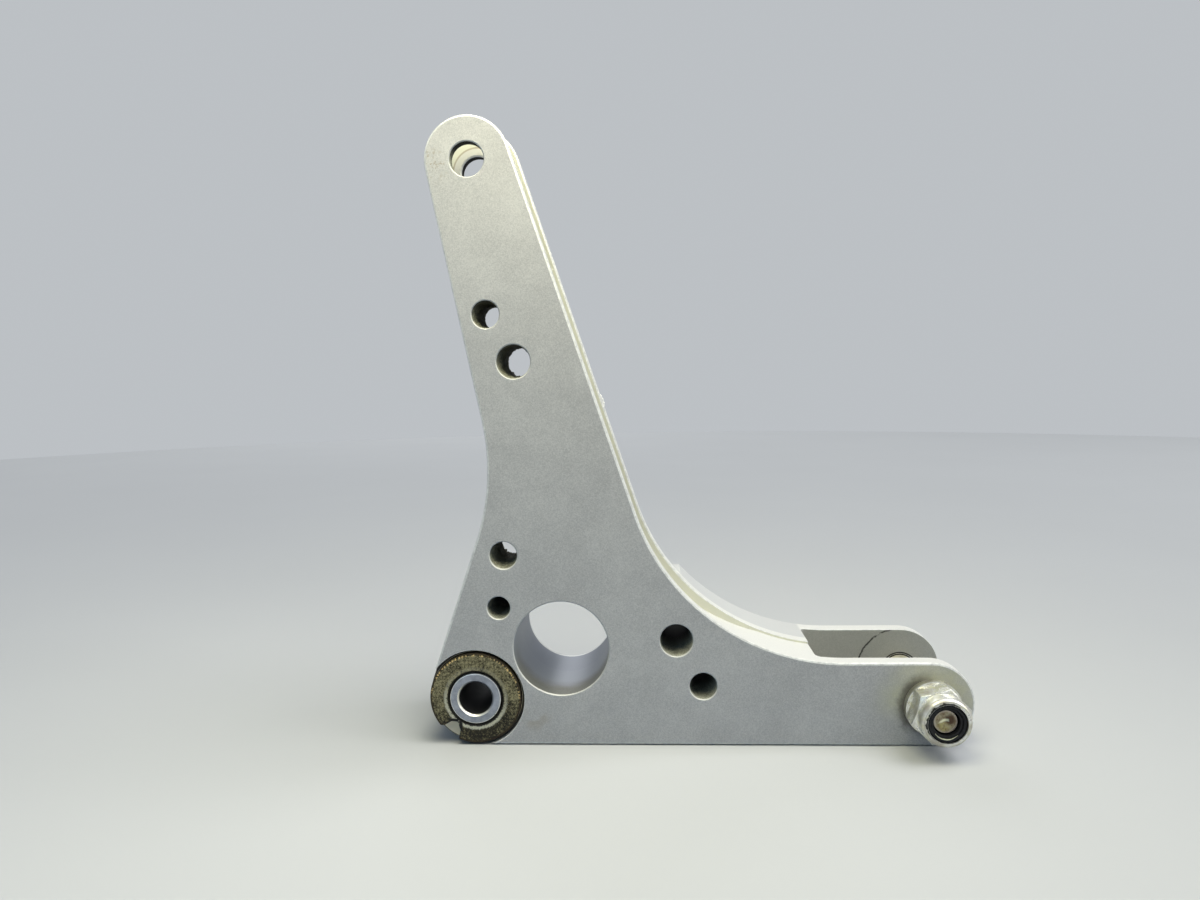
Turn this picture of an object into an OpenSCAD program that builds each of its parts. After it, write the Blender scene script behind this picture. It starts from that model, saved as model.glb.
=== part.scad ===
// Aircraft control bellcrank: a one-piece aluminium crank with a forked end on each
// arm, a bushed pivot at the corner and a bolt with a lock nut left in the lower fork.
// Millimetres. The origin lies on the pivot axis at the middle of the hub, +Z runs up
// the long arm, +X along the lower arm, and the broad front face looks along -Y.

/* [Thickness] */
// Thickness of the upper arm, measured back from the front face
arm_t = 12.7; // [10:0.1:16]
// Thickness of the hub and the lower arm, measured back from the front face
hub_t = 22.2; // [18:0.1:30]
// Height of the step where the thick lower part ends, above the pivot axis
shoulder_z = 20.95; // [20:0.05:24]

/* [Outline] */
// Sideways offset of the top fork hole from the pivot axis
top_x = 1.75; // [-4:0.1:6]
// Height of the top fork hole above the pivot axis
top_z = 101.6; // [92:0.5:130]
// Radius of the rounded top end
top_end_r = 7.95; // [6.5:0.05:10]
// Distance of the fork bolt from the pivot axis along the lower arm
bolt_x = 86.6; // [80:0.1:110]
// Radius of the rounded end of the lower arm, half its height
arm_end_r = 8; // [7:0.05:9]
// Radius of the hub round the pivot, also its height above the straight bottom edge
hub_r = 9.17; // [8.8:0.05:11]
// Lean of the upper arm's left edge from the vertical
left_edge_deg = 10.9; // [9:0.1:13]
// Lean of the upper arm's right edge from the vertical
right_edge_deg = 18; // [16:0.1:20]
// Lean of the edge that rises from the hub to the waist
hub_edge_deg = 19.4; // [16:0.1:22]
// Radius of the hollow at the left waist
waist_r = 42.8; // [10:0.5:60]
// Radius of the hollow between the two arms
crook_r = 41.3; // [38.5:0.1:44]
// How far the metal behind the groove stands proud of the front outline, upwards
rear_proud = 0.42; // [0.1:0.02:1]
// How far it stands proud of the front outline, to the right
rear_right = 0.3; // [0.1:0.05:0.8]

/* [Forks] */
// Width of the slot between the top ears
top_gap_w = 7.9; // [5:0.1:9]
// Depth of the top slot below its hole
top_gap_depth = 20; // [12:0.5:22]
// Sideways shift of the floor of the groove milled along the right edge
groove_shift = 4.6; // [3:0.1:5.5]
// Upward shift of that floor, which makes it run out in the hollow
groove_rise = 1.5; // [1:0.1:2]
// Width of the slot between the lower ears
fork_gap_w = 15.8; // [12:0.1:17]
// Depth of the lower slot behind the fork bolt
fork_gap_depth = 20.9; // [12:0.1:24]
// Radius in the inner corners of both slots
slot_corner_r = 1.2; // [0.3:0.1:2.4]

/* [Holes] */
// Diameter of the hole through the top ears
top_hole_d = 6.35; // [4:0.05:10]
// Centre of the large lightening hole, right and up from the pivot axis
window_at = [16.85, 9.85]; // [8:0.05:24]
// Diameter of the large lightening hole
window_d = 18.3; // [8:0.1:19]
// Centre of the upper arm's higher hole
arm_high_at = [4.3, 73.45]; // [0:0.1:80]
// Diameter of the upper arm's higher hole
arm_high_d = 5.15; // [2:0.05:7]
// Centre of the upper arm's lower hole
arm_low_at = [9.25, 64.65]; // [0:0.1:80]
// Diameter of the upper arm's lower hole
arm_low_d = 6.35; // [2:0.05:8]
// Centre of the hole just above the step
waist_hole_at = [6.25, 28.05]; // [0:0.1:40]
// Diameter of the hole just above the step
waist_hole_d = 5.2; // [2:0.05:7]
// Centre of the smallest hole, above the hub
hub_hole_at = [5.05, 17.85]; // [0:0.05:40]
// Diameter of the smallest hole
hub_hole_d = 4.35; // [2:0.05:5]
// Centre of the higher hole under the hollow
crook_high_at = [38.9, 11.35]; // [0:0.05:60]
// Diameter of the higher hole under the hollow
crook_high_d = 6.2; // [2:0.05:8]
// Centre of the lower hole under the hollow
crook_low_at = [43.9, 2.4]; // [0:0.05:60]
// Diameter of the lower hole under the hollow
crook_low_d = 5.15; // [2:0.05:7]
// Width of the broken edge round every hole
edge_break = 0.2; // [0.05:0.05:0.5]

/* [Pivot] */
// Bore of the steel pivot sleeve
pivot_bore_d = 6.35; // [4:0.05:7.5]
// Outer diameter of the pivot sleeve
sleeve_d = 9.9; // [9:0.05:11.5]
// Length of the sleeve that stands out past each face of the hub
sleeve_proud = 0.15; // [0:0.05:1]
// Width of the bevel at each end of the sleeve's bore
sleeve_bevel = 0.4; // [0.1:0.05:0.6]
// Radial play between the sleeve and its two bushes
running_play = 0.03; // [0.01:0.01:0.1]
// Outer diameter of the bush barrels
bush_d = 12.7; // [12.2:0.05:14.5]
// Diameter of the bush flanges
flange_d = 17.8; // [16.5:0.05:18.6]
// Thickness of the bush flanges, also the depth of the spot faces they sit in
flange_t = 1.6; // [1:0.05:2.5]
// Radial room between a flange and the wall of its spot face
flange_room = 0.62; // [0.2:0.02:1.2]
// Width of the bevel at the mouth of each bush
mouth_bevel = 0.5; // [0.2:0.05:0.8]
// Grease space left between the inner ends of the two bushes
grease_gap = 2; // [0.5:0.1:6]
// Inner corner of the piece broken out of the front flange
chip_at = [-3.7, -4.7]; // [-6:0.1:-2]

/* [Fork bolt] */
// Height of the bolt's axis above the straight bottom edge
bolt_h = 7.7; // [7:0.05:8.5]
// Diameter of the bolt
bolt_d = 4.76; // [3:0.01:5]
// Radial play round the bolt in its bushes, washers and nut
bolt_play = 0.03; // [0.01:0.01:0.1]
// Outer diameter of the bushes in the lower ears
ear_bush_d = 6.95; // [5.8:0.05:8]
// Diameter of the washers
washer_d = 10.5; // [8:0.1:14]
// Thickness of the washers
washer_t = 1.5; // [0.5:0.1:2]
// Width across the flats of the bolt head and the nut
hex_af = 9.53; // [8:0.01:12]
// Height of the bolt head
head_h = 3.2; // [2:0.1:5]
// Turn of the nut's flats from level
nut_turn_deg = 13.8; // [0:0.1:60]
// Turn of the bolt head's flats from level
head_turn_deg = 21; // [0:1:60]
// Height of the nut over its rolled collar
nut_h = 6.7; // [5.9:0.05:8]
// Height of the nut's hexagon
nut_hex_h = 4; // [3:0.05:4.4]
// Outer diameter of the nut's collar
collar_d = 9.2; // [8.6:0.05:9.4]
// Opening in the collar's rolled lip
lip_open_d = 7.1; // [6:0.05:7.4]
// Thickness of the collar's wall beside the insert
collar_wall = 0.7; // [0.4:0.05:0.9]
// Thickness of the rolled lip over the insert
lip_t = 0.6; // [0.3:0.05:0.9]
// Distance of the bolt's end below the lip
bolt_end_sunk = 1.4; // [0.8:0.05:1.8]
// Width of the bevel at the bolt's end
bolt_end_bevel = 0.3; // [0.1:0.05:0.5]

/* [Hidden] */
$fn = 96;
// How far a cutting tool runs past the metal it cuts
over = 1;
// Angle of the bevel on the corners of a hexagon
hex_bevel_deg = 30;

front_y = -hub_t / 2;
rear_y = hub_t / 2;
arm_rear_y = front_y + arm_t;
top_at = [top_x, top_z];
bottom_z = -hub_r;
bolt_at = [bolt_x, bottom_z + bolt_h];
arm_end_at = [bolt_x, bottom_z + arm_end_r];
arm_top_z = bottom_z + 2 * arm_end_r;
top_ear_t = (arm_t - top_gap_w) / 2;
top_gap_y = front_y + top_ear_t;
top_slot_z = top_z - top_gap_depth;
fork_ear_t = (hub_t - fork_gap_w) / 2;
fork_slot_x = bolt_x - fork_gap_depth;
// Depth at which the proud outline starts, level with the rear wall of the groove
step_y = top_gap_y + top_gap_w;
reach = top_z + bolt_x;

// Directions of the sloping edges and of the normals that point out of the metal
left_dir = [-sin(left_edge_deg), cos(left_edge_deg)];
left_out = [-cos(left_edge_deg), -sin(left_edge_deg)];
right_dir = [-sin(right_edge_deg), cos(right_edge_deg)];
right_out = [cos(right_edge_deg), sin(right_edge_deg)];
hub_dir = [sin(hub_edge_deg), cos(hub_edge_deg)];
hub_out = [-cos(hub_edge_deg), sin(hub_edge_deg)];
level_dir = [1, 0];

// Points where the edges leave the round ends, and where they would cross
left_tangent = top_at + top_end_r * left_out;
right_tangent = top_at + top_end_r * right_out;
hub_tangent = hub_r * hub_out;
waist_at = crossing(left_tangent, left_dir, hub_tangent, hub_dir);
crook_at = crossing(right_tangent, right_dir, [bolt_x, arm_top_z], level_dir);

spot_r = flange_d / 2 + flange_room;
bush_bore_r = sleeve_d / 2 + running_play;
barrel_l = (hub_t - grease_gap) / 2;
bolt_r = bolt_d / 2;
bolt_hole_r = bolt_r + bolt_play;
nut_seat_y = front_y - washer_t;
head_seat_y = rear_y + washer_t;
nut_face_y = nut_seat_y - nut_h;
hex_corner_r = hex_af / 2 / cos(30);
collar_r = collar_d / 2;
insert_r = collar_r - collar_wall;
insert_l = nut_h - lip_t - nut_hex_h;

// Point where two lines cross, each given by a point and a direction
function crossing(p, u, q, v) = p + u * cross(q - p, v) / cross(u, v);

// Points of a concave corner's fillet patch: a point in the metal behind the corner, the first
// tangent point, the centre and the second tangent point. u and v are unit directions that lead
// away from the corner along its two edges.
function fillet_patch(corner, u, v, r) =
    let (half = acos(u * v) / 2,
         mid = (u + v) / norm(u + v),
         run = r / tan(half))
    [corner - mid * over, corner + u * run, corner + mid * r / sin(half), corner + v * run];

// Metal that fills a concave corner up to a tangent arc
module corner_fillet(corner, u, v, r) {
    patch = fillet_patch(corner, u, v, r);
    difference() {
        polygon(patch);
        translate(patch[2]) circle(r);
    }
}

// Front outline of the whole crank
module crank_outline() {
    polygon([left_tangent, waist_at, hub_tangent, [0, 0], [0, bottom_z], [bolt_x, bottom_z],
             [bolt_x, arm_top_z], crook_at, right_tangent, top_at]);
    circle(hub_r);
    translate(top_at) circle(top_end_r);
    translate(arm_end_at) circle(arm_end_r);
    corner_fillet(waist_at, left_dir, -hub_dir, waist_r);
    corner_fillet(crook_at, right_dir, level_dir, crook_r);
}

// Outline of the metal behind the groove, which stands proud upwards, and to the right before the bolt
module back_outline() {
    crank_outline();
    intersection() {
        translate([0, rear_proud]) crank_outline();
        translate([bolt_x, -reach]) square([reach, 2 * reach]);
    }
    intersection() {
        translate([rear_right, rear_proud]) crank_outline();
        translate([-reach, -reach]) square([reach + bolt_x, 2 * reach]);
    }
}

// Outline of the thick rear part, which ends at the step
module rear_outline() {
    intersection() {
        back_outline();
        translate([-reach, bottom_z - over]) square([2 * reach, shoulder_z - bottom_z + over]);
    }
}

// Open-ended slot seen along its walls: it starts at x = 0 with rounded corners and is centred on y = 0
module slot_plan(w) {
    side = w / 2 - slot_corner_r;
    translate([slot_corner_r, -w / 2]) square([reach, w]);
    translate([0, -side]) square([reach, 2 * side]);
    translate([slot_corner_r, side]) circle(slot_corner_r);
    translate([slot_corner_r, -side]) circle(slot_corner_r);
}

// Flat shape given thickness between two depths
module slab(y0, y1) {
    translate([0, y1, 0]) rotate([90, 0, 0]) linear_extrude(y1 - y0) children();
}

// Turned shape: a half section of radius and distance along +Y, spun about an axis parallel to Y
module turned(at, y0) {
    translate([at.x, y0, at.y]) rotate([-90, 0, 0]) rotate_extrude() children();
}

// Cutting tool for a through hole with both edges broken
module drill(at, d, y0, y1) {
    flare = d / 2 + edge_break + over;
    length = y1 - y0;
    turned(at, y0)
        polygon([[0, -over], [flare, -over], [d / 2, edge_break], [d / 2, length - edge_break],
                 [flare, length + over], [0, length + over]]);
}

// Cutting tool for the spot face on the side that looks along the given sign of Y
module spot_face(side) {
    depth = side < 0 ? front_y - over : rear_y - flange_t;
    turned([0, 0], depth) square([spot_r, flange_t + over]);
}

// Groove along the right edge, as wide as the top slot, running out in the hollow
module edge_groove() {
    slab(top_gap_y, top_gap_y + top_gap_w)
        difference() {
            translate([0, arm_top_z]) square([fork_slot_x, top_slot_z + over - arm_top_z]);
            translate([-groove_shift, groove_rise]) crank_outline();
        }
}

// One-piece machined crank
module crank_body() {
    color([0.74, 0.74, 0.71])
    difference() {
        union() {
            slab(front_y, step_y) crank_outline();
            slab(step_y, arm_rear_y) back_outline();
            slab(arm_rear_y, rear_y) rear_outline();
        }
        translate([-reach, front_y + arm_t / 2, top_slot_z]) rotate([0, -90, 180])
            linear_extrude(2 * reach) slot_plan(top_gap_w);
        translate([fork_slot_x, 0, -reach]) linear_extrude(2 * reach) slot_plan(fork_gap_w);
        edge_groove();
        drill(top_at, top_hole_d, front_y, arm_rear_y);
        drill(arm_high_at, arm_high_d, front_y, arm_rear_y);
        drill(arm_low_at, arm_low_d, front_y, arm_rear_y);
        drill(waist_hole_at, waist_hole_d, front_y, arm_rear_y);
        drill(hub_hole_at, hub_hole_d, front_y, rear_y);
        drill(window_at, window_d, front_y, rear_y);
        drill(crook_high_at, crook_high_d, front_y, rear_y);
        drill(crook_low_at, crook_low_d, front_y, rear_y);
        turned([0, 0], front_y) square([bush_d / 2, hub_t]);
        turned(bolt_at, front_y - over) square([ear_bush_d / 2, hub_t + 2 * over]);
        spot_face(-1);
        spot_face(1);
    }
}

// Flanged bush that enters from the front: flange in the spot face, barrel to the middle of the hub
module flanged_bush() {
    turned([0, 0], front_y)
        difference() {
            union() {
                translate([bush_bore_r, 0]) square([flange_d / 2 - bush_bore_r, flange_t]);
                translate([bush_bore_r, 0]) square([bush_d / 2 - bush_bore_r, barrel_l]);
            }
            polygon([[bush_bore_r + mouth_bevel + over, -over], [bush_bore_r, mouth_bevel], [0, mouth_bevel],
                     [0, -over]]);
        }
}

// Front bush, with the corner that has broken out of its flange at the lower left
module front_flanged_bush() {
    far = flange_d;
    color([0.23, 0.20, 0.13])
    difference() {
        flanged_bush();
        slab(front_y - over, front_y + flange_t)
            polygon([chip_at, chip_at + [0.5, -1.7], chip_at + [0.2, -2.9], chip_at + [0.6, -far],
                     chip_at + [-far, -far], chip_at + [-far, -0.8], chip_at + [-2.6, -0.7],
                     chip_at + [-1.2, 0.1]]);
    }
}

// Rear bush, whole
module rear_flanged_bush() {
    color([0.23, 0.20, 0.13]) mirror([0, 1, 0]) flanged_bush();
}

// Steel sleeve that the crank turns on
module pivot_sleeve() {
    length = hub_t + 2 * sleeve_proud;
    bore_r = pivot_bore_d / 2;
    color([0.62, 0.64, 0.68])
    turned([0, 0], front_y - sleeve_proud)
        polygon([[bore_r + sleeve_bevel, 0], [sleeve_d / 2, 0], [sleeve_d / 2, length],
                 [bore_r + sleeve_bevel, length], [bore_r, length - sleeve_bevel], [bore_r, sleeve_bevel]]);
}

// Plated bush pressed into one lower ear, flush with both of its faces
module ear_bush(y0) {
    color([0.72, 0.68, 0.42])
    turned(bolt_at, y0)
        translate([bolt_hole_r, 0]) square([ear_bush_d / 2 - bolt_hole_r, fork_ear_t]);
}

module front_ear_bush() {
    ear_bush(front_y);
}

module rear_ear_bush() {
    ear_bush(rear_y - fork_ear_t);
}

// Flat washer on the lower arm, outside one ear
module washer(y0) {
    color([0.70, 0.70, 0.62])
    turned(bolt_at, y0)
        translate([bolt_hole_r, 0]) square([washer_d / 2 - bolt_hole_r, washer_t]);
}

module head_washer() {
    washer(rear_y);
}

module nut_washer() {
    washer(nut_seat_y);
}

// Hexagon between two depths, with its corners bevelled at the outer end
module bevelled_hex(y_seat, height, side, turn) {
    drop = hex_corner_r * tan(hex_bevel_deg);
    tip = hex_af / 2 * tan(hex_bevel_deg);
    intersection() {
        translate([bolt_at.x, y_seat, bolt_at.y]) rotate([-90 * side, 0, 0]) rotate([0, 0, turn])
            cylinder(h = height, r = hex_corner_r, $fn = 6);
        translate([bolt_at.x, y_seat, bolt_at.y]) rotate([-90 * side, 0, 0])
            rotate_extrude()
                polygon([[0, -over], [hex_corner_r, -over], [hex_corner_r, height - drop + tip],
                         [hex_af / 2, height], [0, height]]);
    }
}

// Fork bolt: head behind the rear ear, threaded end inside the nut
module fork_bolt() {
    end_y = nut_face_y + bolt_end_sunk;
    length = head_seat_y - end_y;
    color([0.68, 0.66, 0.55]) {
        turned(bolt_at, end_y)
            polygon([[0, 0], [bolt_r - bolt_end_bevel, 0], [bolt_r, bolt_end_bevel], [bolt_r, length + over],
                     [0, length + over]]);
        bevelled_hex(head_seat_y, head_h, 1, head_turn_deg);
    }
}

// Half section of the nut's collar, with its rolled lip, measured from the seat
module collar_section() {
    roll = collar_wall + lip_t / 2;
    difference() {
        union() {
            square([collar_r - roll, nut_h]);
            square([collar_r, nut_h - roll]);
            translate([collar_r - roll, nut_h - roll]) circle(roll);
        }
        translate([-over, nut_hex_h]) square([insert_r + over, insert_l]);
        translate([-over, nut_hex_h]) square([lip_open_d / 2 + over, nut_h]);
    }
}

// Hexagon nut with a round collar that is rolled in over the locking insert
module lock_nut() {
    color([0.76, 0.75, 0.70])
    difference() {
        union() {
            bevelled_hex(nut_seat_y, nut_hex_h, -1, nut_turn_deg);
            translate([bolt_at.x, nut_seat_y, bolt_at.y]) rotate([90, 0, 0])
                rotate_extrude() collar_section();
        }
        turned(bolt_at, nut_face_y - over) square([bolt_hole_r, nut_h + 2 * over]);
    }
}

// Locking ring inside the nut's collar
module nut_insert() {
    color([0.04, 0.04, 0.05])
    translate([bolt_at.x, nut_seat_y - nut_hex_h, bolt_at.y]) rotate([90, 0, 0])
        rotate_extrude()
            translate([bolt_hole_r, 0]) square([insert_r - bolt_hole_r, insert_l]);
}

crank_body();
front_flanged_bush();
rear_flanged_bush();
pivot_sleeve();
front_ear_bush();
rear_ear_bush();
fork_bolt();
head_washer();
nut_washer();
lock_nut();
nut_insert();
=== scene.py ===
"""Looks of an aircraft bellcrank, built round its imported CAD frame.

Lengths in the classes are millimetres in the part's own frame: the pivot axis is Y, the long
arm rises along Z and the lower arm runs along X. Blender's own lengths are metres.
"""

import logging
import math
from dataclasses import dataclass, field
from enum import Enum
from typing import Any, Dict, List, Optional, Sequence, Tuple, Union

import bmesh
import bpy
from mathutils import Matrix, Vector, noise


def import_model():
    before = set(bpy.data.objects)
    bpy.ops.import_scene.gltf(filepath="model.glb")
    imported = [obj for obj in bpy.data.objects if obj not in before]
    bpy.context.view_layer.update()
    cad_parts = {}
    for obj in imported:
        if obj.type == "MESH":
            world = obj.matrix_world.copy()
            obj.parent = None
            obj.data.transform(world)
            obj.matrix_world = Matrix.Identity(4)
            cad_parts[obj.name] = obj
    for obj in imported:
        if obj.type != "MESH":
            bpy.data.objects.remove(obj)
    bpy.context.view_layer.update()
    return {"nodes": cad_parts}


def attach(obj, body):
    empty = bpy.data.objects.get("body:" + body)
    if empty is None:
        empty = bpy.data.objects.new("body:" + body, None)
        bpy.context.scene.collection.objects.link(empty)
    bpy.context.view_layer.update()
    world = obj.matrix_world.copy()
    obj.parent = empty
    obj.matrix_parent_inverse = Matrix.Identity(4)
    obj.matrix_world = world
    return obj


MM = 0.001
ROOT_BODY = "crank"
LOG = logging.getLogger("bellcrank")
# Settings of the modifiers: gaps in millimetres, angle in degrees
JOIN_GAP = 0.002
CORNER_GAP = 0.0005
FLAT_DEG = 0.1
# Types of values
Colour = Tuple[float, float, float]
Place = Tuple[float, float, float]
Spot = Tuple[float, float]
Sockets = Dict[Union[int, str], Any]


class Slot(Enum):
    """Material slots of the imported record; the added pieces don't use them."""

    METAL = "crank_metal"
    PLATED = "plated_steel"
    PLASTIC = "insert_plastic"


@dataclass(frozen=True)
class PartSizes:
    """Depths, axes and radii of the part that several classes share."""

    front_y: float = -11.1
    rear_y: float = 11.1
    groove_y: float = -0.8
    arm_rear_y: float = 1.6
    ear_y: float = 7.9
    pivot_at: Spot = (0.0, 0.0)
    bolt_at: Spot = (86.6, -1.47)
    top_at: Spot = (1.75, 101.6)
    flange_r: float = 8.9


PART = PartSizes()


class Field:
    """A shader socket that takes part in Python arithmetic."""

    def __init__(self, graph: "Graph", socket: bpy.types.NodeSocket) -> None:
        """Wraps one output socket of a graph."""
        self.graph = graph
        self.socket = socket

    def _math(self, operation: str, first: Any, second: Any = 0.0) -> "Field":
        """Adds one Math node for an operation on two values."""
        return self.graph.node("ShaderNodeMath", {"operation": operation}, {0: first, 1: second})

    def __add__(self, other: Any) -> "Field":
        """Sum."""
        return self._math("ADD", self, other)

    def __radd__(self, other: Any) -> "Field":
        """Sum with a number on the left."""
        return self._math("ADD", other, self)

    def __sub__(self, other: Any) -> "Field":
        """Difference."""
        return self._math("SUBTRACT", self, other)

    def __rsub__(self, other: Any) -> "Field":
        """Difference from a number on the left."""
        return self._math("SUBTRACT", other, self)

    def __mul__(self, other: Any) -> "Field":
        """Product."""
        return self._math("MULTIPLY", self, other)

    def __rmul__(self, other: Any) -> "Field":
        """Product with a number on the left."""
        return self._math("MULTIPLY", other, self)

    def __pow__(self, other: Any) -> "Field":
        """Power of a value that isn't negative."""
        return self._math("POWER", self, other)

    def __abs__(self) -> "Field":
        """Size without sign."""
        return self._math("ABSOLUTE", self)

    def __or__(self, other: Any) -> "Field":
        """Larger of two masks."""
        return self._math("MAXIMUM", self, other)

    def wave(self) -> "Field":
        """Sine of an angle, moved into 0 to 1."""
        return self._math("SINE", self) * 0.5 + 0.5

    def ramp(self, low: float, high: float) -> "Field":
        """Smooth mask that goes from 0 at low to 1 at high.

        Args:
            low: Value at which the mask is empty; it may be the larger of the two.
            high: Value at which the mask is full.

        Returns:
            The mask, held between 0 and 1.
        """
        settings = {"interpolation_type": "SMOOTHSTEP", "clamp": True}
        return self.graph.node("ShaderNodeMapRange", settings, {0: self, 1: low, 2: high})

    def band(self, low: float, high: float, soft: float) -> "Field":
        """Mask of values between two limits, with soft borders.

        Args:
            low: Lower limit.
            high: Upper limit.
            soft: Half the width over which each border fades.

        Returns:
            The mask, held between 0 and 1.
        """
        return self.ramp(low - soft, low + soft) * self.ramp(high + soft, high - soft)


class Graph:
    """Node tree that is written from Python expressions."""

    def __init__(self, tree: bpy.types.NodeTree) -> None:
        """Takes a tree and empties it."""
        self.tree = tree
        tree.nodes.clear()

    def node(self, kind: str, settings: Dict[str, Any], sockets: Sockets,
             output: Union[int, str, None] = 0) -> Optional[Field]:
        """Adds any node.

        Args:
            kind: Blender's name of the node type.
            settings: Properties that are set first.
            sockets: Values or fields for the node's inputs, by place or name.
            output: Place or name of the output that is wanted, or none for a closing node.

        Returns:
            The wanted output.
        """
        made = self.tree.nodes.new(kind)
        for key, value in settings.items():
            setattr(made, key, value)
        for key, value in sockets.items():
            if isinstance(value, Field):
                self.tree.links.new(value.socket, made.inputs[key])
            else:
                made.inputs[key].default_value = value
        return None if output is None else Field(self, made.outputs[output])


class PlacedGraph(Graph):
    """Node tree with the object's own millimetre coordinates at hand."""

    def __init__(self, tree: bpy.types.NodeTree, kind: str, output: str) -> None:
        """Takes a tree and the node that gives a place in it.

        Args:
            tree: The tree to fill.
            kind: Node type that gives the place in metres.
            output: Name of that node's output.
        """
        super().__init__(tree)
        place = self.node(kind, {}, {}, output)
        self.place = self.node("ShaderNodeVectorMath", {"operation": "SCALE"}, {0: place, "Scale": 1 / MM})
        self.x = self.part(self.place, 0)
        self.y = self.part(self.place, 1)
        self.z = self.part(self.place, 2)

    def part(self, vector: Field, index: int) -> Field:
        """One of the three parts of a vector."""
        return self.node("ShaderNodeSeparateXYZ", {}, {0: vector}, index)

    def radius(self, at: Spot) -> Field:
        """Distance from an axis along Y through a point of the front face."""
        dx = self.x - at[0]
        dz = self.z - at[1]
        return (dx * dx + dz * dz) ** 0.5


class EdgeGraph(PlacedGraph):
    """Geometry nodes that give each sharp edge its own share of the bevel's width."""

    def __init__(self, name: str, sharp: float, crease: float) -> None:
        """Makes an empty tree.

        Args:
            name: Name of the tree.
            sharp: Smallest angle in degrees at which an outer edge is broken.
            crease: Smallest angle in degrees at which an inner edge is shaded as sharp.
        """
        tree = bpy.data.node_groups.new(name, "GeometryNodeTree")
        for way in ("INPUT", "OUTPUT"):
            tree.interface.new_socket("Geometry", in_out=way, socket_type="NodeSocketGeometry")
        super().__init__(tree, "GeometryNodeInputPosition", "Position")
        angle = self.node("GeometryNodeInputMeshEdgeAngle", {}, {}, "Signed Angle")
        self.outer = angle.ramp(math.radians(sharp - 1), math.radians(sharp + 1))
        self.inner = angle.ramp(math.radians(-crease), math.radians(-crease - 2))

    def store(self, share: Field) -> bpy.types.NodeTree:
        """Closes the tree, which keeps shares on the outer edges and marks the inner ones as sharp.

        Args:
            share: Shares of the outer edges.

        Returns:
            The finished tree.
        """
        shape = self.node("NodeGroupInput", {}, {})
        kept = self.node("GeometryNodeStoreNamedAttribute", {"data_type": "BOOLEAN", "domain": "EDGE"},
                         {0: shape, "Name": "sharp_edge", "Value": self.inner})
        kept = self.node("GeometryNodeStoreNamedAttribute", {"data_type": "FLOAT", "domain": "EDGE"},
                         {0: kept, "Name": "bevel_weight_edge", "Value": self.outer * share})
        self.node("NodeGroupOutput", {}, {0: kept}, None)
        return self.tree


class Surface(PlacedGraph):
    """Node tree of one material."""

    def __init__(self, name: str) -> None:
        """Makes an empty material of that name."""
        self.material = bpy.data.materials.new(name)
        self.material.use_nodes = True
        super().__init__(self.material.node_tree, "ShaderNodeTexCoord", "Object")
        facing = self.node("ShaderNodeNewGeometry", {}, {}, "True Normal")
        self.square = abs(self.part(facing, 1))

    def noise(self, size: float, detail: float = 2.0, rough: float = 0.55, seed: Spot = (0.0, 0.0),
              stretch: Place = (1.0, 1.0, 1.0)) -> Field:
        """Soft random pattern.

        Args:
            size: Size of its features in millimetres.
            detail: Number of finer layers.
            rough: Strength of the finer layers.
            seed: Two shifts in millimetres that pick another part of the pattern.
            stretch: Factors on the three coordinates; a small one draws the pattern out.

        Returns:
            A value about 0.5.
        """
        moved = self.node("ShaderNodeMapping", {}, {0: self.place, "Location": (seed[0], seed[1], seed[0]),
                                                    "Scale": stretch})
        return self.node("ShaderNodeTexNoise", {},
                         {"Vector": moved, "Scale": 1 / size, "Detail": detail, "Roughness": rough})

    def blend(self, share: Any, first: Any, second: Any) -> Field:
        """Mix of two colours.

        Args:
            share: How much of the second colour there is.
            first: Colour or field.
            second: Colour or field.

        Returns:
            The mixed colour.
        """
        pair = [value if isinstance(value, Field) else (*value, 1.0) for value in (first, second)]
        return self.node("ShaderNodeMix", {"data_type": "RGBA"}, {0: share, 6: pair[0], 7: pair[1]}, 2)

    def turn(self, at: Spot) -> Field:
        """Angle round an axis along Y, in radians."""
        return self.node("ShaderNodeMath", {"operation": "ARCTAN2"}, {0: self.z - at[1], 1: self.x - at[0]})

    def bump(self, height: Field, depth: float, strength: float) -> Field:
        """Normal of a finely uneven surface.

        Args:
            height: Pattern between 0 and 1.
            depth: Height of the pattern in millimetres.
            strength: Share of the effect.

        Returns:
            The disturbed normal.
        """
        return self.node("ShaderNodeBump", {},
                         {"Height": height, "Distance": depth * MM, "Strength": strength})

    def finish(self, colour: Any, rough: Any, metal: Any, normal: Optional[Field] = None,
               constants: Optional[Sockets] = None) -> bpy.types.Material:
        """Closes the graph with one surface shader.

        Args:
            colour: Base colour or field.
            rough: Roughness.
            metal: Metallic share.
            normal: Bumped normal.
            constants: Further sockets that are the same all over.

        Returns:
            The finished material.
        """
        sockets: Sockets = dict(constants or {})
        sockets["Base Color"] = colour if isinstance(colour, Field) else (*colour, 1.0)
        sockets["Roughness"] = rough
        sockets["Metallic"] = metal
        if normal is not None:
            sockets["Normal"] = normal
        shader = self.node("ShaderNodeBsdfPrincipled", {}, sockets)
        self.node("ShaderNodeOutputMaterial", {}, {"Surface": shader}, None)
        return self.material


def any_of(masks: Sequence[Field]) -> Field:
    """Largest of several masks."""
    joined = masks[0]
    for mask in masks[1:]:
        joined = joined | mask
    return joined


def shown_rays(g: Graph) -> Field:
    """Mask of the rays that show a backdrop: straight to the camera, mirrored or let through."""
    names = ("Is Camera Ray", "Is Glossy Ray", "Is Transmission Ray")
    return any_of([g.node("ShaderNodeLightPath", {}, {}, name) for name in names])


@dataclass(frozen=True)
class Hole:
    """Through hole seen from the front."""

    at: Spot
    d: float


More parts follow.
